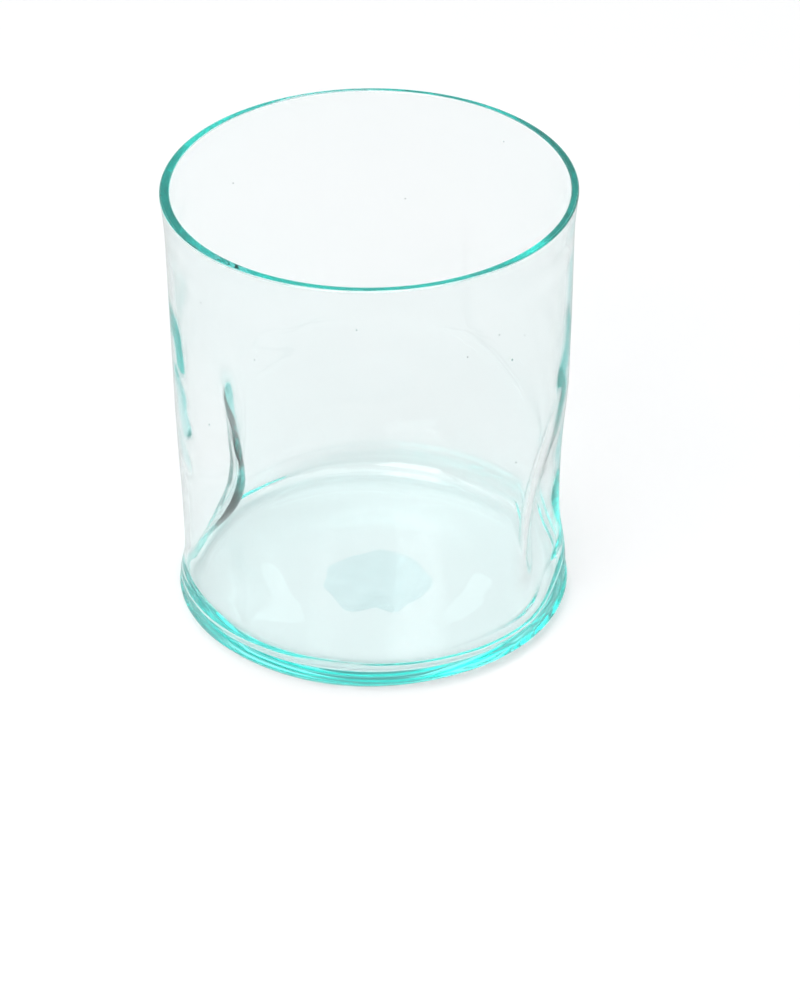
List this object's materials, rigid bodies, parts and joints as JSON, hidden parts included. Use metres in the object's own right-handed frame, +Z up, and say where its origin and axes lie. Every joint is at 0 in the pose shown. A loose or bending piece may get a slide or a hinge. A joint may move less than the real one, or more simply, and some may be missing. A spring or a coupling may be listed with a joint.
{
  "type": "rocks glass",
  "caption": "Short hand-blown drinking tumbler of pale aqua glass with a fire-polished lip, pinched finger dimples low in the wall and a thick rounded base with a pontil mark underneath.",
  "frame": {"origin": "centre of the foot, on the table plane", "axes": "+Z up along the axis of the glass, X through the middle of both dimples, with the shallower dimple at +X"},
  "size_m": [0.082, 0.082, 0.0945],
  "materials": {
    "aqua_glass": "fire-polished, slightly wavy blown surface",
    "broken_glass": "rough where the rod was cracked off"
  },
  "bodies": {
    "root": {"tumbler": "aqua_glass", "pontil_mark": "broken_glass"}
  },
  "joints": []
}
